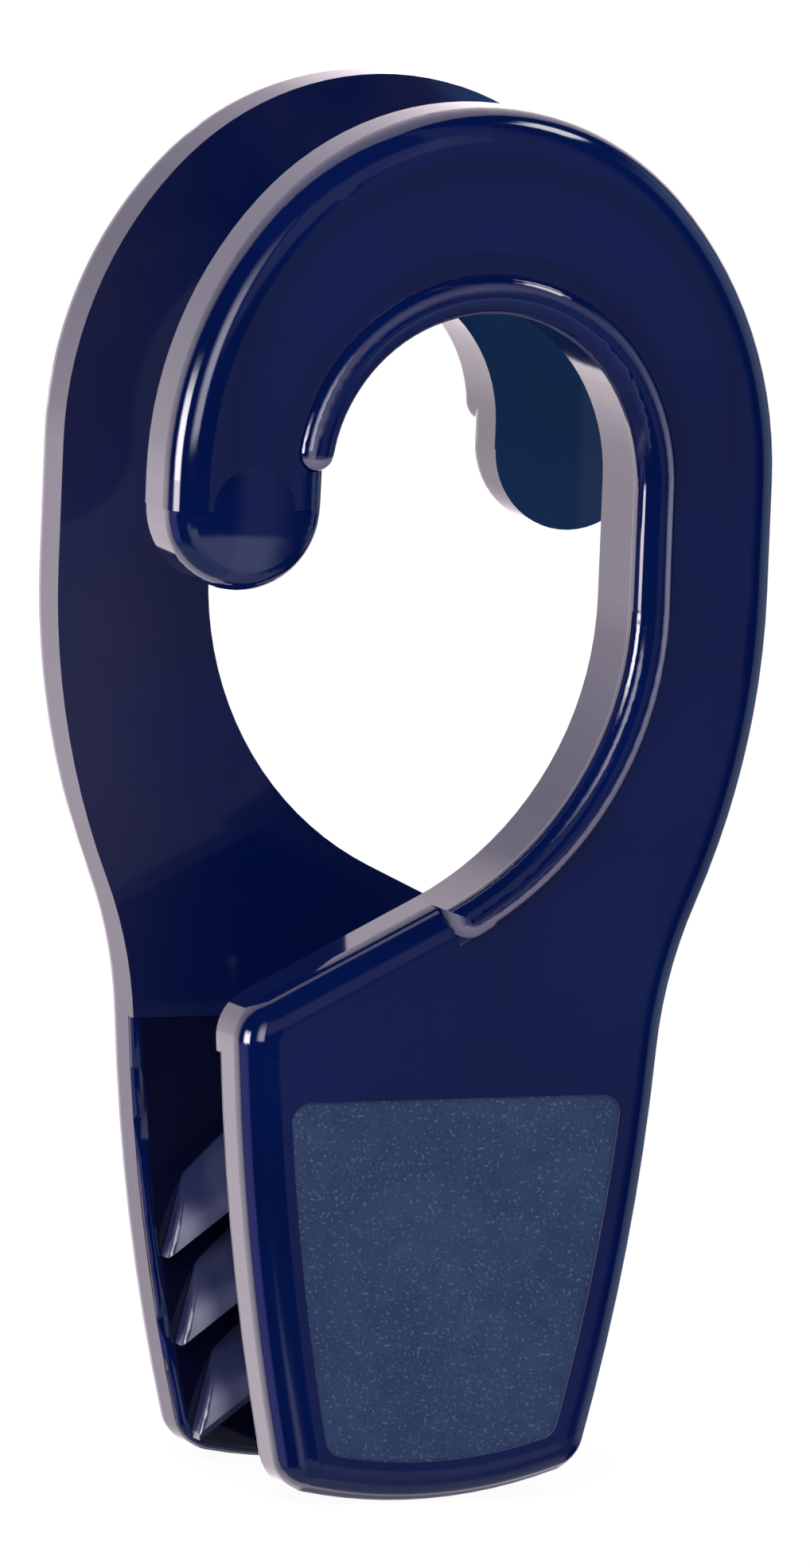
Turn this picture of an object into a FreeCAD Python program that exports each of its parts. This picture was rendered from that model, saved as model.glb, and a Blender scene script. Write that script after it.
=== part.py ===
import FreeCAD, Part
import math
import os

from FreeCAD import Vector

# Rail hanger for a boat fender line, moulded in one piece: two hooks back to back, facing opposite ways,
# joined low down by a web with a toothed rope groove on each side of it.
# Millimetres. The rail runs along Y, +Z is up, and the origin is at the middle of the lowest edge.
# A hook is drawn as the front one: outer face towards -Y, arm at +X, tip at -X. The back one is it turned half round.

# Whole part
height = 135.4
gap = 20.1               # clear width between the two hooks
plate = 7.5              # thickness of a hook

# Outer outline, from the crown down one side
half_width = 31.95
crown_narrow = 2.75      # the crown's radius is this much under the half width
crown_angle = 46.0
crown_skew = 0.3         # how far to -X of the centre line the crown is highest
side_straight = 11.4
taper_r = 76.4
taper_angle = 23.5
waist_r = 42.7
waist_angle = 19.5
body_side_r = 210.0      # below the arm
mouth_side_r = 262.0     # below the mouth
bottom_r = 51.0
bottom_skew = 2.6        # how far to -X of the centre line the foot's lowest point lies
bottom_corner_r = 4.2
shoulder_corner_r = 4.6
outer_edge_r = 3.4       # round of the outer face's edge

# Eye, where the rail sits
eye_r = 15.65
eye_drop = 6.05          # from the crown's centre down to the eye's
eye_top_end = 33.0       # angle above level where the arm's gentler arc takes over
arm_r = 18.4
arm_straight = 11.65
throat_r = 32.2          # arc from the arm into the slope
slope_angle = 25.9       # fall of the slope that leads the rail in

# Hook tip
back_tip_creep = 2.0     # the back hook's tip has crept shut by this much
back_tip_rise = 1.35     # and up by this much
creep_start = 45.0       # angle above level on the arm side where its eye begins to close in
tip_drop = 3.0           # from the eye's centre down to the tip's
tip_dome_ring = 4.3      # radius where the domed end meets the flat face
tip_dome_proud = 0.4
tip_edge_r = 2.8
tip_step = 0.1           # the domed end is this much slimmer than the hook above it

# Bead round the eye
bead_width = 3.9
bead_height = 1.65       # at the eye's centre line
bead_climb = 0.04        # growth of its height for each mm towards the arm
bead_edge_r = 1.8
bead_nose_angle = 8.5    # from level up to the bead's rounded end
back_nose_angle = 4.5    # the same on the back hook
bead_heel_r = 1.9

# Grip panel sunk in the outer face
panel_margin = 4.4
panel_foot_margin = 4.2
panel_drop = 4.1         # from the top of the groove cores down to the panel's top edge
panel_corner_r = 1.9
panel_depth = 0.25

# Lower part, shaped by the cores that form the rope grooves
core_drop = 56.45        # from the eye's centre down to where the cores start
core_step = 0.12
core_edge_r = 1.0

# Web between the hooks
web = 6.0
web_climb = 4.3          # how far it stands above the cores' top
web_root_r = 2.0
web_top_r = 2.4

# Cleat teeth
teeth = 3
tooth_foot_z = 3.0       # height of the lowest tooth's edge at its blunt end
tooth_pitch = 8.65
tooth_edge_inset = 1.0   # from the hook's side to the teeth's blunt ends
tooth_foot_inset = 0.9
tooth_end_depth = 1.9
tooth_end_lean = 13.0    # how far a blunt end leans inwards as it goes up
tooth_end_r = 0.8
tooth_rise = 0.94        # climb of a tooth's edge for each mm inwards
tooth_grow = 0.42        # growth of a tooth's depth for each mm inwards
tooth_face_height = 6.3
tooth_face_lean = 5.0    # backward lean of the face at the edge
tooth_bevel = 0.9        # bevel under the lowest tooth's edge

# Worked out from the sizes above
inner_y = gap / 2
outer_y = inner_y + plate
crown = math.radians(crown_angle)
crown_r = half_width - crown_narrow
reach = 2 * height       # larger than the part, for cutting tools


def at(x, z, y=0.0):
    return Vector(x, y, z)


def polar(centre, radius, degrees):
    a = math.radians(degrees)
    return centre + Vector(radius * math.cos(a), 0, radius * math.sin(a))


def arc(centre, radius, start, end):
    middle = (start + end) / 2
    points = [polar(centre, radius, a) for a in (start, middle, end)]
    return Part.Arc(*points).toShape()


def line(p, q):
    return Part.LineSegment(p, q).toShape()


def mirrored(shape):
    return shape.mirror(at(0, 0), Vector(1, 0, 0))


def prism(edges, y_from, y_to):
    """Solid between two Y levels, from a closed run of edges drawn at Y = 0."""
    wire = Part.Wire(Part.__sortEdges__(edges))
    solid = Part.Face(wire).extrude(Vector(0, y_to - y_from, 0))
    solid.translate(Vector(0, y_from, 0))
    return solid


def block(x, y, z):
    """Box from three pairs of limits."""
    size = [side[1] - side[0] for side in (x, y, z)]
    return Part.makeBox(*size, Vector(x[0], y[0], z[0]))


def crossing(centre_a, radius_a, centre_b, radius_b):
    """Where two circles in the drawing plane cross, on the lower side of their centre line at +X."""
    along = centre_b - centre_a
    distance = along.Length
    run = (radius_a ** 2 - radius_b ** 2 + distance ** 2) / (2 * distance)
    rise = math.sqrt(radius_a ** 2 - run ** 2)
    foot = centre_a + along * (run / distance)
    across = Vector(-along.z, 0, along.x) * (rise / distance)
    return min(foot + across, foot - across, key=lambda p: p.z)


def bearing(centre, point):
    return math.degrees(math.atan2(point.z - centre.z, point.x - centre.x))


def flank(crown_x, side_x):
    """Centre and radius of the arc between a crown centred at crown_x and a side at side_x."""
    radius = (side_x - crown_x - crown_r * math.sin(crown)) / (1 - math.sin(crown))
    return polar(at(crown_x, height - crown_r), crown_r - radius, 90 - crown_angle), radius


# Centres of the outline's arcs, each tangent to the one before
side_top_z = flank(0, half_width)[0].z
taper_c = at(half_width - taper_r, side_top_z - side_straight)
waist_c = polar(taper_c, taper_r + waist_r, -taper_angle)
body_lean = taper_angle - waist_angle

# Centres and turning points of the eye
eye_c = at(0, height - crown_r - eye_drop)
core_top_z = eye_c.z - core_drop
panel_top_z = core_top_z - panel_drop
web_top_z = core_top_z + web_climb
arm_c = polar(eye_c, eye_r - arm_r, eye_top_end)
arm_x = arm_c.x + arm_r
throat_c = at(arm_x - throat_r, arm_c.z - arm_straight)
throat_end = -(90 - slope_angle)
slope_start = polar(throat_c, throat_r, throat_end)


def body_side(radius):
    """Centre of the arc down the lower body's side."""
    return polar(waist_c, waist_r + radius, 180 - body_lean)


def body_half_width(z):
    """Half width of the lower body at a height, below the arm."""
    centre = body_side(body_side_r)
    return centre.x + math.sqrt(body_side_r ** 2 - (z - centre.z) ** 2)


def body_half(body_r, foot_x, inset_side, inset_foot, top_z):
    """Right half of the lower body's outline, drawn in by the two insets, up to a level or to the waist."""
    side_c = body_side(body_r)
    side_r = body_r - inset_side
    foot_r = bottom_r - inset_foot
    bottom_c = at(foot_x, bottom_r)
    corner = crossing(side_c, side_r, bottom_c, foot_r)
    low = bearing(side_c, corner)
    foot = arc(bottom_c, foot_r, bearing(bottom_c, corner), -90)
    if top_z is None:
        return [arc(side_c, side_r, -body_lean, low), foot]
    high = math.degrees(math.asin((top_z - side_c.z) / side_r))
    return [line(at(0, top_z), polar(side_c, side_r, high)), arc(side_c, side_r, high, low), foot]


def upper_half(crown_x, creep):
    """Right half of the outline from the crown to the waist, drawn in by the creep down to the eye's level."""
    side_x = half_width - creep
    flank_c, flank_r = flank(crown_x, side_x)
    edges = [
        arc(at(crown_x, height - crown_r), crown_r, 90, 90 - crown_angle),
        arc(flank_c, flank_r, 90 - crown_angle, 0),
        arc(taper_c, taper_r, 0, -taper_angle),
        arc(waist_c, waist_r, 180 - taper_angle, 180 - body_lean),
    ]
    turns = [at(side_x, flank_c.z), at(half_width, taper_c.z)]
    if creep:
        turns.insert(1, at(side_x, eye_c.z - tip_drop))
    return edges + [line(p, q) for p, q in zip(turns, turns[1:])]


def body_prism(y_from, y_to, foot_x, inset_side, inset_foot, top_z):
    """The lower body between two Y levels, drawn in by the two insets."""
    right = body_half(body_side_r, foot_x, inset_side, inset_foot, top_z)
    left = body_half(mouth_side_r, -foot_x, inset_side, inset_foot, top_z)
    return prism(right + [mirrored(e) for e in left], y_from, y_to)


def outline_prism(y_from, y_to, side, creep):
    """A hook's whole outline between two Y levels, drawn in by the creep on its tip side.

    side is -1 where its arm points to +X, and 1 where it points to -X.
    """
    crown_x = side * crown_skew
    foot_x = side * bottom_skew
    right = upper_half(crown_x, 0) + body_half(body_side_r, foot_x, 0, 0, None)
    left = upper_half(-crown_x, creep) + body_half(mouth_side_r, -foot_x, 0, 0, None)
    return prism(right + [mirrored(e) for e in left], y_from, y_to)


def tip_circle(creep):
    """Centre and radius of the eye's arc on the tip side, for a tip that has crept in."""
    shrink = creep / (1 + math.cos(math.radians(creep_start)))
    return polar(eye_c, shrink, creep_start), eye_r - shrink


def eye_run(creep, out, start):
    """Eye outline moved out by a width, from an angle on the tip side to the slope's start."""
    side_c, side_r = tip_circle(creep)
    return [
        arc(side_c, side_r + out, start, creep_start),
        arc(eye_c, eye_r + out, creep_start, eye_top_end),
        arc(arm_c, arm_r + out, eye_top_end, 0),
        line(at(arm_x + out, arm_c.z), at(arm_x + out, throat_c.z)),
        arc(throat_c, throat_r + out, 0, throat_end),
    ]


def tip_end(creep):
    """Centre and radius of the rounded tip."""
    side_c, side_r = tip_circle(creep)
    inner_x = side_c.x - side_r
    radius = (half_width - creep + inner_x) / 2
    rise = back_tip_rise if creep else 0
    return at(inner_x - radius, eye_c.z - tip_drop + rise), radius


def opening(creep):
    """Tool that cuts the eye and the mouth, and leaves the tip standing."""
    side_c, side_r = tip_circle(creep)
    tip_c, tip_r = tip_end(creep)
    beyond = -half_width - outer_edge_r
    fall = (slope_start.x - beyond) * math.tan(math.radians(slope_angle))
    slope_foot = at(beyond, slope_start.z - fall)
    edges = eye_run(creep, 0, 180)
    edges += [
        line(slope_start, slope_foot),
        line(slope_foot, at(beyond, tip_c.z)),
        line(at(beyond, tip_c.z), polar(tip_c, tip_r, 180)),
        arc(tip_c, tip_r, -180, 0),
        line(polar(tip_c, tip_r, 0), polar(side_c, side_r, 180)),
    ]
    return prism(edges, -reach, reach)


def along_y(edge):
    ends = [v.Point for v in edge.Vertexes]
    return len(ends) == 2 and abs(abs(ends[0].y - ends[1].y) - edge.Length) < 1e-6


def lies_at(edge, y):
    box = edge.BoundBox
    return abs(box.YMin - y) < 1e-5 and abs(box.YMax - y) < 1e-5


def sharp_corners(solid, z_from, z_to):
    """Edges along Y between two levels where the outline turns sharply."""
    found = []
    for edge in solid.Edges:
        if not along_y(edge) or not z_from < edge.Vertexes[0].Z < z_to:
            continue
        point = edge.Vertexes[0].Point
        sides = [f for f in solid.ancestorsOfType(edge, Part.Face)]
        normals = [f.normalAt(*f.Surface.parameter(point)) for f in sides]
        if len(normals) == 2 and normals[0].getAngle(normals[1]) > math.radians(15):
            found.append(edge)
    return found


def domed_tip(solid, creep):
    """The hook with its tip's lower half swapped for a disc with a domed face."""
    tip_c, tip_r = tip_end(creep)
    ball_r = (tip_dome_ring ** 2 + tip_dome_proud ** 2) / (2 * tip_dome_proud)
    apex_y = -outer_y - tip_dome_proud
    disc = Part.makeCylinder(tip_r - tip_step, -inner_y - apex_y, Vector(tip_c.x, apex_y, tip_c.z), Vector(0, 1, 0))
    disc = disc.common(Part.makeSphere(ball_r, Vector(tip_c.x, apex_y + ball_r, tip_c.z)))
    rim = [e for e in disc.Edges if e.Length > 5 * tip_r and e.BoundBox.YMax < -inner_y - plate / 4]
    disc = disc.makeFillet(tip_edge_r, rim)
    below = block((-reach, tip_c.x + 1.5 * tip_r), (-reach, reach), (tip_c.z - 2 * tip_r, tip_c.z))
    return solid.cut(below).fuse(disc)


def bead_zone(creep, y_from, y_to):
    """The strip along the eye that the bead stands on, round at the tip and cut square where the slope starts."""
    side_c, side_r = tip_circle(creep)
    nose = 180 - (back_nose_angle if creep else bead_nose_angle)
    nose_c = polar(side_c, side_r + bead_width / 2, nose)
    edges = eye_run(creep, 0, nose)
    edges += eye_run(creep, bead_width, nose)
    edges.append(line(slope_start, polar(throat_c, throat_r + bead_width, throat_end)))
    edges.append(arc(nose_c, bead_width / 2, nose, nose + 180))
    return prism(edges, y_from, y_to)


def bead(creep):
    """Raised bead along the eye, lower at the tip than at the arm."""
    level = -outer_y - bead_height
    above = block((-reach, reach), (-reach, level), (-reach, reach))
    above.rotate(Vector(0, level, 0), Vector(0, 0, 1), -math.degrees(math.atan(bead_climb)))
    body = bead_zone(creep, -2 * outer_y, -outer_y + outer_edge_r).cut(above)
    heel = polar(throat_c, throat_r + bead_width, throat_end)
    heel_edges = [e for e in body.Edges if along_y(e) and (e.Vertexes[0].Point - heel).cross(Vector(0, 1, 0)).Length < 1e-4]
    body = body.makeFillet(bead_heel_r, heel_edges)
    crest_edges = [e for e in body.Edges if all(on_crest(v.Point) for v in e.Vertexes)]
    return body.makeFillet(bead_edge_r, crest_edges)


def on_crest(point):
    return abs(point.y + outer_y + bead_height + bead_climb * point.x) < 1e-5


def grip_panel(side):
    levels = (-outer_y - plate, -outer_y + panel_depth)
    sunk = body_prism(*levels, side * bottom_skew, panel_margin, panel_foot_margin, panel_top_z)
    return sunk.makeFillet(panel_corner_r, sharp_corners(sunk, 0, height))


def tooth_section(x, edge_z, depth, bevel):
    """Section of a tooth across X: a round face from its edge up to the wall, and a flat underside."""
    edge = Vector(x, -inner_y + depth, edge_z)
    foot = Vector(x, -inner_y, edge_z + tooth_face_height)
    chord = foot - edge
    bulge = (math.atan(depth / tooth_face_height) - math.radians(tooth_face_lean)) / 2
    swell = Vector(0, chord.z, -chord.y) * (math.tan(bulge) / 2)
    back_y = -inner_y - plate / 2
    under = edge - Vector(0, bevel / 2, bevel)
    corners = [foot, Vector(x, back_y, foot.z), Vector(x, back_y, under.z), under]
    if bevel:
        corners.append(edge)
    face = Part.Arc(edge, edge + chord / 2 + swell, foot).toShape()
    return Part.Wire(Part.__sortEdges__([face] + [line(p, q) for p, q in zip(corners, corners[1:])]))


def tooth(edge_z, bevel, body):
    """Tooth on a hook's inner wall on the arm side: it slants up and deepens as it runs inwards from a blunt end."""
    tip_x = body_half_width(edge_z) - tooth_edge_inset
    sections = []
    for x in (body_half_width(edge_z + tooth_face_height), web / 2 - web_root_r / 2):
        run = tip_x - x
        depth = tooth_end_depth + tooth_grow * run
        sections.append(tooth_section(x, edge_z + tooth_rise * run, depth, bevel))
    solid = Part.makeLoft(sections, True, True).common(body)
    tip = at(tip_x, edge_z)
    end = block((-reach, tip_x), (-reach, reach), (-reach, reach))
    end.rotate(tip, Vector(0, 1, 0), -tooth_end_lean)
    solid = solid.common(end)
    across = polar(at(0, 0), 1, tooth_end_lean)
    at_end = [e for e in solid.Edges if all(abs((v.Point - tip).dot(across)) < 1e-4 for v in e.Vertexes)]
    rim = max(at_end, key=lambda e: e.BoundBox.ZLength * (e.CenterOfMass.y > -inner_y))
    return solid.makeFillet(tooth_end_r, [rim])


def wall_teeth(side):
    """Teeth on both sides of a hook's inner wall, drawn for the front hook."""
    levels = (-inner_y - plate / 2, inner_y)
    body = body_prism(*levels, side * bottom_skew, tooth_edge_inset, tooth_foot_inset, core_top_z)
    found = []
    for n in range(teeth):
        bevel = 0 if n else tooth_bevel
        arm_side = tooth(tooth_foot_z + n * tooth_pitch, bevel, body)
        found.append(arm_side)
        found.append(mirrored(arm_side).common(body))
    return found


def hook(creep, side):
    """One hook, drawn as the front one, whose tip has crept in. side is as in outline_prism."""
    solid = outline_prism(-outer_y, -inner_y, side, creep).cut(opening(creep))
    solid = solid.makeFillet(bottom_corner_r, sharp_corners(solid, 0, core_top_z / 2))
    shoulders = [e for e in sharp_corners(solid, core_top_z / 2, eye_c.z - eye_r) if e.Vertexes[0].X < 0]
    solid = solid.makeFillet(shoulder_corner_r, shoulders)
    solid = solid.makeFillet(outer_edge_r, [e for e in solid.Edges if lies_at(e, -outer_y)])
    lower = solid.common(block((-reach, reach), (-reach, -inner_y - core_step), (-reach, reach)))
    lower = lower.makeFillet(core_edge_r, [e for e in lower.Edges if lies_at(e, -inner_y - core_step)])
    lower = lower.common(block((-reach, reach), (-reach, reach), (-reach, core_top_z)))
    solid = domed_tip(solid, creep)
    solid = solid.cut(bead_zone(creep, -2 * outer_y, -outer_y + outer_edge_r)).fuse(bead(creep))
    upper = solid.common(block((-reach, reach), (-reach, reach), (core_top_z, reach)))
    return upper.multiFuse([lower.cut(grip_panel(side))] + wall_teeth(side))


def web_wall():
    """Web that joins the hooks, with a rounded root at each hook and a rounded saddle on top."""
    wide = web / 2 + web_root_r
    wall = block((-wide, wide), (-inner_y - plate / 2, inner_y + plate / 2), (0, web_top_z))
    wall = wall.common(outline_prism(-outer_y, outer_y, -1, 0))
    side = block((web / 2, 2 * wide), (-inner_y, inner_y), (-reach, reach))
    corners = [e for e in side.Edges if abs(e.BoundBox.ZLength - 2 * reach) < 1e-3 and e.Vertexes[0].X < wide]
    side = side.makeFillet(web_root_r, corners)
    wall = wall.cut(side).cut(mirrored(side))
    saddle = [e for e in wall.Edges if e.BoundBox.ZMin > web_top_z - 1e-3 and abs(e.CenterOfMass.y) < inner_y]
    return wall.makeFillet(web_top_r, saddle)


def hanger():
    front = hook(0.0, -1)
    back = hook(back_tip_creep, 1)
    back.rotate(Vector(0, 0, 0), Vector(0, 0, 1), 180)
    return front.multiFuse([back, web_wall()]).removeSplitter()


os.makedirs("parts", exist_ok=True)
hanger_body = hanger()
print("solids", len(hanger_body.Solids), "valid", hanger_body.isValid(), "volume", round(hanger_body.Volume))
hanger_body.exportStep("parts/hanger_body.step")
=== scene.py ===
import math

import bpy
from mathutils import Matrix, Vector

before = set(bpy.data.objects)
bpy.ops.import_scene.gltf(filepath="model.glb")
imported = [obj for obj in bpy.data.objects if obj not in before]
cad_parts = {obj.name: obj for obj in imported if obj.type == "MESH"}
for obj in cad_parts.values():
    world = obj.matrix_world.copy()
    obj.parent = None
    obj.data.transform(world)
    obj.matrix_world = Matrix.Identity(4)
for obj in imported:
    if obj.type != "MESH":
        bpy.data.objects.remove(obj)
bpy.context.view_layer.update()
print("frame loaded:", sorted(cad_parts))


def newMaterial(name):
    material = bpy.data.materials.new(name)
    material.use_nodes = True
    tree = material.node_tree
    tree.nodes.clear()
    return material, tree


def feed(tree, node, key, value):
    socket = node.inputs[key]
    if isinstance(value, bpy.types.NodeSocket):
        tree.links.new(value, socket)
    else:
        socket.default_value = value


def addNode(tree, kind, settings=None, **inputs):
    node = tree.nodes.new(kind)
    for key, value in (settings or {}).items():
        setattr(node, key, value)
    for key, value in inputs.items():
        feed(tree, node, key.replace("_", " "), value)
    return node


# from here to mixShaders, each helper gives back the socket that holds its result, and axesOf one for each axis
def axesOf(tree, vector):
    return addNode(tree, "ShaderNodeSeparateXYZ", None, Vector=vector).outputs


def maths(tree, operation, a, b=0.0, c=0.0):
    node = addNode(tree, "ShaderNodeMath", {"operation": operation})
    for index, value in enumerate((a, b, c)):
        feed(tree, node, index, value)
    return node.outputs[0]


def times(tree, first, *others):
    for other in others:
        first = maths(tree, "MULTIPLY", first, other)
    return first


def plus(tree, first, *others):
    for other in others:
        first = maths(tree, "ADD", first, other)
    return first


def most(tree, first, *others):
    for other in others:
        first = maths(tree, "MAXIMUM", first, other)
    return first


def hypot(tree, a, b):
    return maths(tree, "SQRT", plus(tree, times(tree, a, a), times(tree, b, b)))


def smooth(tree, value, low, high, toLow=0.0, toHigh=1.0):
    node = addNode(tree, "ShaderNodeMapRange", {"interpolation_type": "SMOOTHSTEP"})
    for index, entry in enumerate((value, low, high, toLow, toHigh)):
        feed(tree, node, index, entry)
    return node.outputs[0]


# 1 up to half a width from the centre, then down to 0 over the soft edge
def band(tree, value, centre, half, soft):
    away = maths(tree, "ABSOLUTE", maths(tree, "SUBTRACT", value, centre))
    return smooth(tree, away, half, half + soft, 1.0, 0.0)


# 1 between the two middle marks, down to 0 at the outer ones
def between(tree, value, marks):
    rise = smooth(tree, value, marks[0], marks[1])
    return times(tree, rise, smooth(tree, value, marks[2], marks[3], 1.0, 0.0))


def noise(tree, vector, scale, detail, roughness=0.5):
    node = addNode(tree, "ShaderNodeTexNoise", None, Vector=vector, Scale=scale, Detail=detail, Roughness=roughness)
    return node.outputs["Fac"]


def mixColour(tree, factor, a, b, **settings):
    node = addNode(tree, "ShaderNodeMix", {"data_type": "RGBA", **settings})
    for index, value in ((0, factor), (6, a), (7, b)):
        feed(tree, node, index, value)
    return node.outputs[2]


def addColour(tree, light, colour, strength):
    return mixColour(tree, strength, light, colour, blend_type="ADD", clamp_factor=False)


def mixShaders(tree, factor, a, b):
    node = addNode(tree, "ShaderNodeMixShader")
    for index, value in enumerate((factor, a, b)):
        feed(tree, node, index, value)
    return node.outputs[0]


view = {
    "yaw": 24.254,
    "pitch": 8.4289,
    "roll": 2.3207,
    "focalPixels": 46000.0,
    "distance": 3.54419,
    "originPixel": (460.4641, 1875.5893),
    "originDrop": 0.00185,  # the fitted origin lies this much under the foot
    "frameSize": (1018, 1970),
    "sensor": 36.0,
    "clip": (0.1, 20.0),
}


def makeCamera():
    yaw, pitch, roll = (math.radians(view[k]) for k in ("yaw", "pitch", "roll"))
    wide, tall = view["frameSize"]
    look = Vector((math.sin(yaw) * math.cos(pitch), math.cos(yaw) * math.cos(pitch), -math.sin(pitch)))
    level = Vector((math.cos(yaw), -math.sin(yaw), 0))
    rise = level.cross(look)
    right = math.cos(roll) * level + math.sin(roll) * rise
    up = -math.sin(roll) * level + math.cos(roll) * rise
    u, v = view["originPixel"]
    ray = look + (u - wide / 2) / view["focalPixels"] * right - (v - tall / 2) / view["focalPixels"] * up
    place = -view["distance"] * ray - Vector((0, 0, view["originDrop"]))
    data = bpy.data.cameras.new("camera")
    data.sensor_width = view["sensor"]
    data.lens = view["sensor"] * view["focalPixels"] / tall
    data.clip_start, data.clip_end = view["clip"]
    camera = bpy.data.objects.new("camera", data)
    axes = Matrix((right, up, -look)).transposed().to_4x4()
    camera.matrix_world = Matrix.Translation(place) @ axes
    bpy.context.scene.collection.objects.link(camera)
    bpy.context.scene.camera = camera


makeCamera()
print("camera placed")


# Lengths are in metres. Two marks say where a look starts to show and where it is full, and a third and a fourth
# number are its shares there. A band is its middle, half width and soft edge, and "within" gives only the last two.
# A turn is how far the surface's normal leans along an axis. A noise is its scale, detail and roughness.
hanger = {
    "navy": (0.0017, 0.0085, 0.076, 1),
    "navyDeep": (0.0012, 0.0065, 0.060, 1),
    "cloudNoise": (45, 3),
    "cloudMarks": (0.35, 0.7),
    "roughness": 0.075,
    "ior": 1.5,
    "waveNoise": (60, 1),
    "waveHeight": 0.00003,
    "outerY": 0.01755,  # a hook's outer face, from the middle of the hanger
    "innerY": 0.01005,
    "beadRise": (0.00003, 0.00009),  # above the outer face
    "coreTop": 0.0437,
    "eyeCentre": 0.10015,
    "flatTurn": 0.985,
    "wallTurn": 0.3,
}


# where each point of the plastic is and which way it faces, as the looks below need it
def readSurface(tree):
    place = addNode(tree, "ShaderNodeTexCoord").outputs["Object"]
    x, y, z = axesOf(tree, place)
    nx, ny, nz = axesOf(tree, addNode(tree, "ShaderNodeTexCoord").outputs["Normal"])
    awayY = maths(tree, "ABSOLUTE", y)
    turned = maths(tree, "ABSOLUTE", ny)
    aboveEye = maths(tree, "SUBTRACT", z, hanger["eyeCentre"])
    fromEye = hypot(tree, x, aboveEye)
    outX = times(tree, x, nx)
    beadMarks = [hanger["outerY"] + rise for rise in hanger["beadRise"]]
    return {
        "place": place, "x": x, "y": y, "z": z, "nx": nx, "ny": ny, "nz": nz,
        "awayX": maths(tree, "ABSOLUTE", x),
        "awayY": awayY,
        "fromEye": fromEye,
        "outX": outX,
        "outward": maths(tree, "DIVIDE", plus(tree, outX, times(tree, aboveEye, nz)), fromEye),
        "faceOn": maths(tree, "GREATER_THAN", turned, hanger["flatTurn"]),
        "sideOn": maths(tree, "LESS_THAN", turned, hanger["wallTurn"]),
        "raised": smooth(tree, awayY, *beadMarks),
    }


innerFace = {
    "within": (0.0002, 0.0001),
    "haze": (0.034, 0.030, 0.055, 1),
    "hazeShare": 0.62,
    "driftNoise": (26, 4, 0.6),
    "driftMarks": (0.42, 0.66),
    "driftShare": 0.4,
    "sideX": (-0.010, -0.034),
    "sideEven": 0.5,  # the rest of the haze on that side comes and goes with the drift
    # painted reflection: a teal tint on the back hook's inner face near its tip
    "teal": (0.011, 0.045, 0.140, 1),
    "tealX": (0.004, 0.012),
    "tealY": (0.0, 0.008),
    "tealZ": (0.080, 0.086),
}


def addInnerLook(tree, at, colour):
    look = innerFace
    face = times(tree, at["faceOn"], band(tree, at["awayY"], hanger["innerY"], *look["within"]))
    drift = smooth(tree, noise(tree, at["place"], *look["driftNoise"]), *look["driftMarks"])
    patchy = plus(tree, times(tree, drift, 1 - look["sideEven"]), look["sideEven"])
    side = times(tree, smooth(tree, at["x"], *look["sideX"]), patchy)
    hazy = times(tree, face, most(tree, times(tree, drift, look["driftShare"]), side), look["hazeShare"])
    colour = mixColour(tree, hazy, colour, look["haze"])

    # painted reflection: teal colour near the back hook's tip stands in for teal light reflected there
    tealReflection = times(tree, smooth(tree, at["x"], *look["tealX"]), smooth(tree, at["y"], *look["tealY"]))
    tealReflection = times(tree, face, tealReflection, smooth(tree, at["z"], *look["tealZ"]))
    return mixColour(tree, tealReflection, colour, look["teal"])


groove = {
    "shade": (0.0040, 0.0040, 0.016, 1),
    "share": 0.8,
    "step": 0.00012,  # from the inner face to the groove's wall
    "within": (0.00004, 0.00002),
    "underTurn": (-0.7, -0.9),
    "underY": (0.0105, 0.0100),
}


def addGrooveShade(tree, at, colour):
    wallY = hanger["innerY"] + groove["step"]
    wall = times(tree, at["faceOn"], band(tree, at["awayY"], wallY, *groove["within"]))
    under = times(tree, smooth(tree, at["nz"], *groove["underTurn"]), smooth(tree, at["awayY"], *groove["underY"]))
    return mixColour(tree, times(tree, most(tree, wall, under), groove["share"]), colour, groove["shade"])


shadeRings = {
    "colour": (0.0, 0.003, 0.03, 1),
    "within": (0.0001, 0.0001),
    "crownCentre": 0.1062,
    "crownSquash": 0.914,
    "crownBand": (0.0238, 0.0004, 0.0013),
    "eyeBand": (0.0208, 0.0004, 0.0008),
    "heights": (0.092, 0.104, 0.0, 0.42),
}


# painted shade: two faint dark rings, round the crown and round the eye, stand in for the shading bands of a
# slightly dished face
def addShadeRings(tree, at, colour):
    rise = most(tree, maths(tree, "SUBTRACT", at["z"], shadeRings["crownCentre"]), 0.0)
    fromCrown = hypot(tree, times(tree, at["x"], shadeRings["crownSquash"]), rise)
    drawn = most(tree, band(tree, fromCrown, *shadeRings["crownBand"]), band(tree, at["fromEye"], *shadeRings["eyeBand"]))
    drawn = times(tree, drawn, smooth(tree, at["z"], *shadeRings["heights"]))
    face = times(tree, at["faceOn"], band(tree, at["awayY"], hanger["outerY"], *shadeRings["within"]))
    return mixColour(tree, times(tree, drawn, face), colour, shadeRings["colour"])


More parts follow.
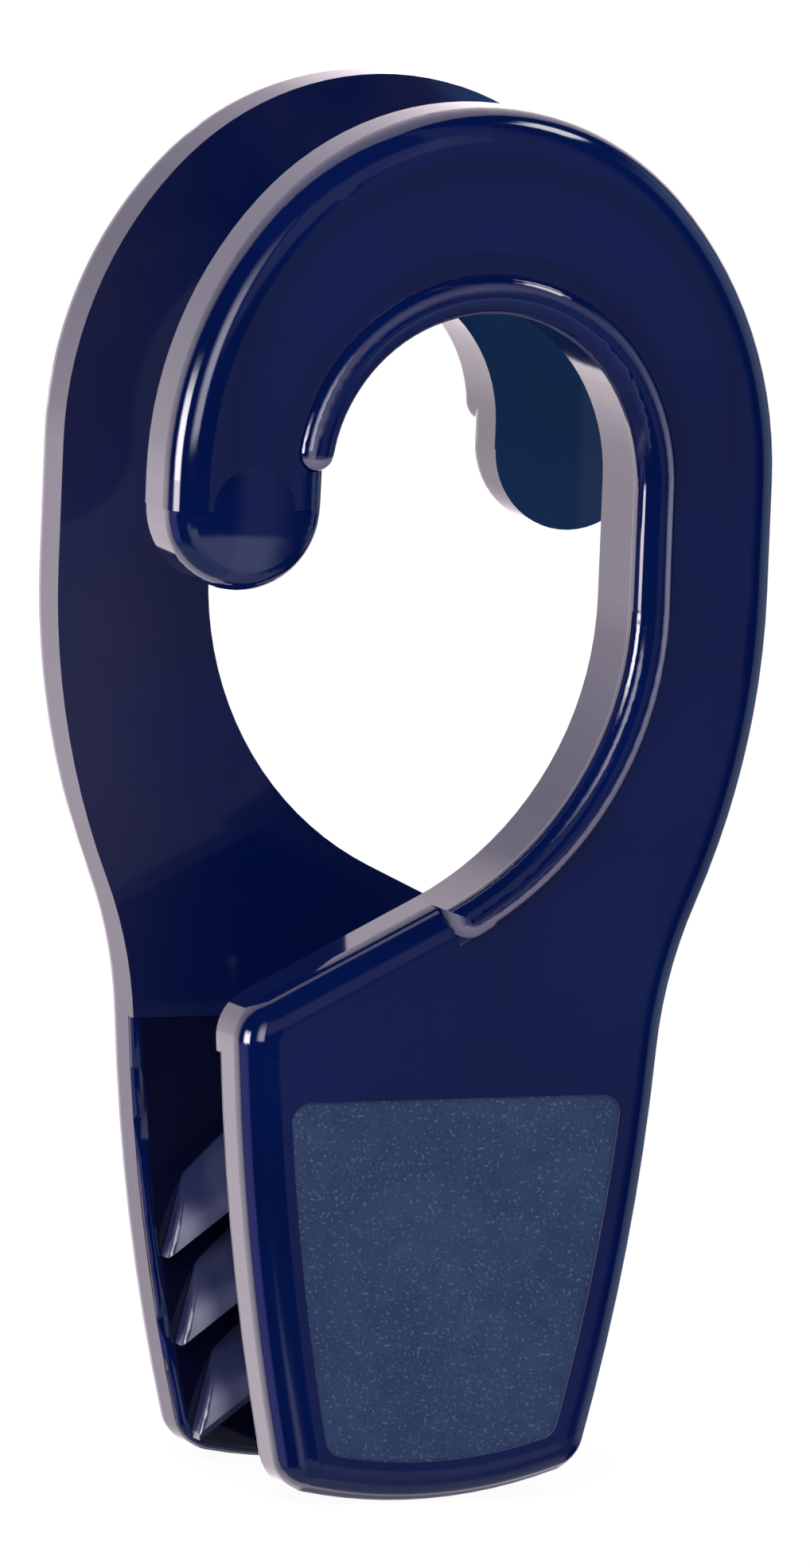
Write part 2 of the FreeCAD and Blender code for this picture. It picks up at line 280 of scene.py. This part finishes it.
bead = {
    # the lilac colour is a painted highlight on the bead's foot and ends
    "paintedHighlight": (0.19, 0.175, 0.27, 1),
    "footBand": (0.42, 0.08, 0.17),
    "footHeights": (0.113, 0.094, 0.22, 1.0),
    "endTurn": (-0.12, -0.35),
    "lowEndX": (0.0031, 0.0025),
    "lowEndY": (0.0160, 0.0168),
    "lowEndZ": (0.0570, 0.0014, 0.0006),
    "tipEndX": (0.0176, 0.0016, 0.0004),
    "tipEndZ": (0.1022, 0.0020, 0.0010),
    "glow": (0.030, 0.028, 0.070, 1),
    "heelTurn": (-0.5, -0.75, 0.0, 2.2),
    "pocketTurn": (0.4, 0.7, 0.0, 0.6),
    "pocketX": (0.0018, 0.0012),
    "pocketY": (0.0164, 0.0012, 0.0004),
    "pocketZ": (0.0548, 0.0007, 0.0004),
}


def beadLowEnd(tree, at):
    across = times(tree, smooth(tree, at["awayX"], *bead["lowEndX"]), band(tree, at["z"], *bead["lowEndZ"]))
    return times(tree, across, smooth(tree, at["awayY"], *bead["lowEndY"]))


# painted highlight: the bead's outer foot and its two ends carry a lilac colour in place of the light lines that
# shine there
def addBeadHighlight(tree, at, colour, lowEnd):
    foot = times(tree, at["raised"], band(tree, at["outward"], *bead["footBand"]))
    foot = times(tree, foot, smooth(tree, at["z"], *bead["footHeights"]))
    tipEnd = times(tree, band(tree, at["awayX"], *bead["tipEndX"]), band(tree, at["z"], *bead["tipEndZ"]))
    ends = most(tree, lowEnd, times(tree, tipEnd, at["raised"]))
    ends = times(tree, ends, smooth(tree, at["nz"], *bead["endTurn"]))
    return mixColour(tree, most(tree, foot, ends), colour, bead["paintedHighlight"])


# the small glow in the corner where the slope starts under the bead's low end
def cornerGlow(tree, at, lowEnd):
    heel = times(tree, lowEnd, smooth(tree, at["nz"], *bead["heelTurn"]))
    pocket = times(tree, band(tree, at["z"], *bead["pocketZ"]), band(tree, at["awayY"], *bead["pocketY"]))
    pocket = times(tree, pocket, smooth(tree, at["awayX"], *bead["pocketX"]))
    return most(tree, heel, times(tree, pocket, smooth(tree, at["nz"], *bead["pocketTurn"])))


teeth = {
    # the teeth's haze colour is partly rub streaks and partly a painted sheen
    "haze": (0.038, 0.044, 0.115, 1),
    "dull": 0.17,  # on top of the plastic's roughness
    "fromY": (0.0101, 0.0099),
    "fromZ": (0.046, 0.044),
    "rubAndSheenNoise": (170, 3, 0.6),
    "rubAndSheenMarks": (0.35, 0.7, 0.35, 1.0),
    "webX": (0.0045, 0.0070),  # the haze starts outside the web
    "endLean": 0.20,
    "endAtFoot": 0.0135,
    "deepMarks": (0.0010, 0.0038, 0.0, 0.85),  # inwards from the teeth's blunt ends
}


def toothArea(tree, at):
    return times(tree, smooth(tree, at["awayY"], *teeth["fromY"]), smooth(tree, at["z"], *teeth["fromZ"]))


# partly rub streaks, partly painted sheen: a lighter colour lifts the teeth where light would shine on them
def addToothHazeAndSheen(tree, at, colour, onTeeth):
    rubAndSheen = smooth(tree, noise(tree, at["place"], *teeth["rubAndSheenNoise"]), *teeth["rubAndSheenMarks"])
    rubAndSheen = times(tree, rubAndSheen, smooth(tree, at["awayX"], *teeth["webX"]))
    return mixColour(tree, times(tree, onTeeth, rubAndSheen), colour, teeth["haze"])


panel = {
    "depth": 0.00025,
    "within": (0.00006, 0.00004),
    "rimWithin": (0.0001, 0.00003),
    "colour": (0.014, 0.037, 0.112, 1),
    "speck": (0.070, 0.108, 0.225, 1),
    "rim": (0.14, 0.13, 0.20, 1),
    "roughness": 0.42,
    "grainNoise": (2600, 3, 0.6),
    "grainHeight": 0.00013,
    "speckNoise": (2900, 1),
    "speckMarks": (0.60, 0.74, 0.0, 1.6),
    "mottleNoise": (500, 2),
    "mottleMarks": (0.3, 0.7, 0.0, 0.12),
    "driftNoise": (75, 3, 0.6),
    "driftMarks": (0.35, 0.65, -0.06, 0.06),
}


def panelArea(tree, at):
    sunkY = hanger["outerY"] - panel["depth"]
    return times(tree, at["faceOn"], band(tree, at["awayY"], sunkY, *panel["within"]))


def addPanel(tree, at, colour, onPanel):
    speck = smooth(tree, noise(tree, at["place"], *panel["speckNoise"]), *panel["speckMarks"])
    mottle = smooth(tree, noise(tree, at["place"], *panel["mottleNoise"]), *panel["mottleMarks"])
    drift = smooth(tree, noise(tree, at["place"], *panel["driftNoise"]), *panel["driftMarks"])
    grained = mixColour(tree, plus(tree, speck, mottle, drift), panel["colour"], panel["speck"])
    colour = mixColour(tree, onPanel, colour, grained)
    rimY = hanger["outerY"] - panel["depth"] / 2
    rim = times(tree, at["sideOn"], band(tree, at["awayY"], rimY, *panel["rimWithin"]))
    return mixColour(tree, rim, colour, panel["rim"])


seam = {
    "band": (0.01117, 0.00007, 0.00006),
    "fade": 0.0002,  # it is gone this much above the groove cores
    "depth": 0.00012,
    "shade": (0.004, 0.004, 0.008, 1),
    "share": 0.75,
}


def seamLine(tree, at):
    top = hanger["coreTop"]
    line = times(tree, at["sideOn"], band(tree, at["awayY"], *seam["band"]))
    return times(tree, line, smooth(tree, at["z"], top + seam["fade"], top))


# fine waves all over, the panels' grain, and the seam as a shallow groove
def surfaceHeight(tree, at, onPanel, onSeam):
    wave = times(tree, noise(tree, at["place"], *hanger["waveNoise"]), hanger["waveHeight"])
    grain = times(tree, noise(tree, at["place"], *panel["grainNoise"]), panel["grainHeight"], onPanel)
    return plus(tree, wave, grain, times(tree, onSeam, -seam["depth"]))


# where the rest of the object or the table would stand in the shine, part of it is taken away
lostShine = {
    "wallY": (0.0099, 0.0101),
    "eyeWallX": (-0.001, -0.004),
    "eyeWallZ": (0.108, 0.102, 0.0, 0.33),
    "outWallX": (0.001, 0.004),
    "outWallY": (0.0, 0.005),
    "outWallZ": (0.09, 0.03, 0.23, 0.34),
    "flankY": (0.0179, 0.0180),
    "flankTurn": (-0.08, -0.16),
    "beadTurn": (-0.30, -0.40),
    "beadShare": 0.85,
    "footStartTurn": (-0.04, -0.10),
    "footEndTurn": (-0.50, -0.40, 0.0, 0.75),
    "footUnderTurn": (-0.72, -0.85, 0.0, 0.8),
    "footZ": (0.020, 0.015),
    "footSideTurn": (0.45, 0.3),
    "rearTurn": (0.90, 0.985, 0.0, 0.7),  # flats that only a view from behind sees
    "sheen": (0.9, 0.9, 1.2, 1),
    "sheenShare": 0.012,
}


def shineTaken(tree, at, onTeeth):
    lost = lostShine
    eyeWall = times(tree, smooth(tree, at["outX"], *lost["eyeWallX"]), smooth(tree, at["z"], *lost["eyeWallZ"]))
    outWall = times(tree, smooth(tree, at["outX"], *lost["outWallX"]), smooth(tree, at["z"], *lost["outWallZ"]))
    outWall = times(tree, outWall, smooth(tree, at["y"], *lost["outWallY"]))
    walls = times(tree, at["sideOn"], smooth(tree, at["awayY"], *lost["wallY"]), most(tree, eyeWall, outWall))

    flank = times(tree, smooth(tree, at["awayY"], *lost["flankY"]), smooth(tree, at["nz"], *lost["flankTurn"]))
    beadFoot = times(tree, at["raised"], smooth(tree, at["nz"], *lost["beadTurn"]))
    underBead = times(tree, most(tree, flank, beadFoot), lost["beadShare"])

    footRound = smooth(tree, at["nz"], *lost["footStartTurn"])
    footRound = times(tree, footRound, smooth(tree, at["nz"], *lost["footEndTurn"]))
    foot = most(tree, footRound, smooth(tree, at["nz"], *lost["footUnderTurn"]))
    foot = times(tree, foot, smooth(tree, at["z"], *lost["footZ"]))
    foot = times(tree, foot, smooth(tree, maths(tree, "ABSOLUTE", at["nx"]), *lost["footSideTurn"]))

    toothEnd = maths(tree, "MULTIPLY_ADD", at["z"], teeth["endLean"], teeth["endAtFoot"])
    inwards = maths(tree, "SUBTRACT", toothEnd, at["awayX"])
    deepTeeth = times(tree, onTeeth, smooth(tree, inwards, *teeth["deepMarks"]))
    rear = smooth(tree, at["ny"], *lost["rearTurn"])
    return most(tree, walls, rear, underBead, deepTeeth, foot)


def hangerPlastic():
    material, tree = newMaterial("navyPlastic")
    at = readSurface(tree)
    onTeeth, onPanel = toothArea(tree, at), panelArea(tree, at)
    onSeam, lowEnd = seamLine(tree, at), beadLowEnd(tree, at)

    cloud = smooth(tree, noise(tree, at["place"], *hanger["cloudNoise"]), *hanger["cloudMarks"])
    colour = mixColour(tree, cloud, hanger["navyDeep"], hanger["navy"])
    colour = addInnerLook(tree, at, colour)
    colour = addGrooveShade(tree, at, colour)
    colour = addShadeRings(tree, at, colour)
    colour = addBeadHighlight(tree, at, colour, lowEnd)
    colour = addToothHazeAndSheen(tree, at, colour, onTeeth)
    colour = addPanel(tree, at, colour, onPanel)

    height = surfaceHeight(tree, at, onPanel, onSeam)
    bump = addNode(tree, "ShaderNodeBump", None, Height=height, Strength=1.0, Distance=1.0)
    panelDull = times(tree, onPanel, panel["roughness"] - hanger["roughness"])
    roughness = plus(tree, panelDull, times(tree, onTeeth, teeth["dull"]), hanger["roughness"])
    gloss = addNode(
        tree, "ShaderNodeBsdfPrincipled", None, Base_Color=colour, Roughness=roughness, IOR=hanger["ior"],
        Normal=bump.outputs["Normal"], Emission_Color=bead["glow"], Emission_Strength=cornerGlow(tree, at, lowEnd),
    )
    plainColour = mixColour(tree, lostShine["sheenShare"], colour, lostShine["sheen"])
    plain = addNode(tree, "ShaderNodeBsdfDiffuse", None, Color=plainColour)
    dark = addNode(tree, "ShaderNodeBsdfDiffuse", None, Color=seam["shade"])
    shaded = mixShaders(tree, shineTaken(tree, at, onTeeth), gloss.outputs[0], plain.outputs[0])
    lined = mixShaders(tree, times(tree, onSeam, seam["share"]), shaded, dark.outputs[0])
    addNode(tree, "ShaderNodeOutputMaterial", None, Surface=lined)
    return material


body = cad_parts["hanger_body"]
body.data.materials.clear()
body.data.materials.append(hangerPlastic())
print("plastic on the hanger")


floorLook = {
    "half": 1.2,
    "colour": (0.9, 0.9, 0.9, 1),
    "ownWhite": 0.9,  # share of the floor that is plain white to the camera
    "white": 1.06,
}


def makeFloor():
    half = floorLook["half"]
    corners = [(-half, -half, 0), (half, -half, 0), (half, half, 0), (-half, half, 0)]
    mesh = bpy.data.meshes.new("floor")
    mesh.from_pydata(corners, [], [(0, 1, 2, 3)])
    floor = bpy.data.objects.new("floor", mesh)
    bpy.context.scene.collection.objects.link(floor)
    material, tree = newMaterial("paleFloor")
    matt = addNode(tree, "ShaderNodeBsdfDiffuse", None, Color=floorLook["colour"])
    white = addNode(tree, "ShaderNodeEmission", None, Strength=floorLook["white"])
    clear = addNode(tree, "ShaderNodeBsdfTransparent")
    rays = addNode(tree, "ShaderNodeLightPath").outputs
    whiteShare = times(tree, rays["Is Camera Ray"], floorLook["ownWhite"])
    shown = mixShaders(tree, whiteShare, matt.outputs[0], white.outputs[0])
    both = mixShaders(tree, rays["Is Glossy Ray"], shown, clear.outputs[0])
    addNode(tree, "ShaderNodeOutputMaterial", None, Surface=both)
    mesh.materials.append(material)


makeFloor()
print("floor laid")


# Angles are in degrees, and azimuth counts from straight back towards the right. Heights are sines of elevations.
# Four marks are where a light fades in, is full, starts to fade and is gone. Other rows of four are two heights and
# the brightness at each.
studio = {
    "fill": 0.72,
    "back": 2.3,
    "backTint": (1.02, 0.90, 0.95, 1),
    "backEdge": (50, 64),
    "backHeights": [
        (-0.1, 0.5, 1.0, 0.62),
        (-0.12, -0.6, 1.08, 0.8),
        (-0.05, -0.13, 1.0, 1.2),
        (-0.30, -0.44, 1.0, 0.83),
    ],
    "front": (0.19, 0.20, 0.27, 1),
    "frontEdge": (132, 150),
    "frontFarEdge": (159, 168),
    "brow": (0.32, 0.32, 0.36, 1),
    "browEdge": (152, 162),
    "browMarks": (0.10, 0.20, 0.55, 0.68),
    "floorGlow": (0.85, 0.95, 1.15, 1),
    "floorEdge": (-0.30, -0.34),
    "floorAllRound": (-0.62, -0.75),
    "floorNear": (-0.4, -0.8, 1.0, 0.5),
}
# name, the four marks of its azimuth, those of its elevation, and its colour
boxes = [
    ("toothLight", (-154, -147, -138, -122), (-4, 1, 12, 42), (6.4, 6.2, 7.0, 1)),
    ("leftFringe", (-99, -91, -68, -58), (-45, -35, -13, -6), (0.5, 0.48, 1.5, 1)),
    ("topRight", (88, 94, 112, 118), (42, 45, 54, 60), (11, 11, 11, 1)),
    ("left", (-105, -101, -87, -76), (-11, -6, 4, 20), (24, 22.5, 23.5, 1)),
    ("right", (60, 74, 104, 118), (-30, -15, 22, 38), (0.42, 0.58, 0.80, 1)),
]


def radians(angles):
    return [math.radians(angle) for angle in angles]


def studioLight(tree):
    ray = addNode(tree, "ShaderNodeTexCoord").outputs["Generated"]
    x, y, height = axesOf(tree, ray)
    around = maths(tree, "ARCTAN2", x, y)
    fromBack = maths(tree, "ABSOLUTE", around)
    back = times(tree, smooth(tree, fromBack, *radians(studio["backEdge"]), 1.0, 0.0), studio["back"])
    for marks in studio["backHeights"]:
        back = times(tree, back, smooth(tree, height, *marks))
    fore = between(tree, around, radians(studio["frontEdge"] + studio["frontFarEdge"]))
    light = mixColour(tree, fore, (0, 0, 0, 1), studio["front"])
    light = addColour(tree, light, studio["backTint"], back)
    brow = smooth(tree, fromBack, *radians(studio["browEdge"]))
    brow = times(tree, brow, between(tree, height, studio["browMarks"]))
    light = addColour(tree, light, studio["brow"], brow)

    # the lit table shows in front, and all round where a reflection looks steeply down
    front = smooth(tree, fromBack, *radians(studio["frontEdge"]))
    table = most(tree, front, smooth(tree, height, *studio["floorAllRound"]))
    table = times(tree, table, smooth(tree, height, *studio["floorNear"]))
    table = times(tree, table, smooth(tree, height, *studio["floorEdge"]))
    light = addColour(tree, light, studio["floorGlow"], table)
    for name, azimuths, elevations, colour in boxes:
        wide = between(tree, around, radians(azimuths))
        tall = between(tree, height, [math.sin(elevation) for elevation in radians(elevations)])
        light = addColour(tree, light, colour, times(tree, wide, tall))
    return light


def makeWorld():
    world = bpy.data.worlds.new("studio")
    world.use_nodes = True
    tree = world.node_tree
    tree.nodes.clear()
    rays = addNode(tree, "ShaderNodeLightPath").outputs
    white = addNode(tree, "ShaderNodeBackground", None, Color=(1, 1, 1, 1), Strength=1.0)
    mirror = addNode(tree, "ShaderNodeBackground", None, Color=studioLight(tree), Strength=1.0)
    fill = addNode(tree, "ShaderNodeBackground", None, Strength=studio["fill"])
    lit = mixShaders(tree, rays["Is Glossy Ray"], fill.outputs[0], mirror.outputs[0])
    seen = mixShaders(tree, rays["Is Camera Ray"], lit, white.outputs[0])
    addNode(tree, "ShaderNodeOutputWorld", None, Surface=seen)
    bpy.context.scene.world = world


keyBox = {
    "azimuth": -150,
    "elevation": 40,
    "distance": 1.2,
    "side": 0.7,
    "strength": 4.0,
    "aim": (0, 0, 0.07),
}


def makeKeyBox():
    azimuth, elevation = radians((keyBox["azimuth"], keyBox["elevation"]))
    level = math.cos(elevation)
    way = Vector((math.sin(azimuth) * level, math.cos(azimuth) * level, math.sin(elevation)))
    side = keyBox["side"]
    data = bpy.data.lights.new("keyBox", "AREA")
    data.shape = "RECTANGLE"
    data.size, data.size_y = side, side
    data.energy = keyBox["strength"] * side * side * math.pi
    lamp = bpy.data.objects.new("keyBox", data)
    lamp.location = Vector(keyBox["aim"]) + keyBox["distance"] * way
    lamp.rotation_mode = "QUATERNION"
    lamp.rotation_quaternion = way.to_track_quat("Z", "Y")
    lamp.visible_camera = False
    lamp.visible_glossy = False
    bpy.context.scene.collection.objects.link(lamp)


makeWorld()
makeKeyBox()
settings = bpy.context.scene.view_settings
settings.view_transform = "Standard"
print("studio lit")
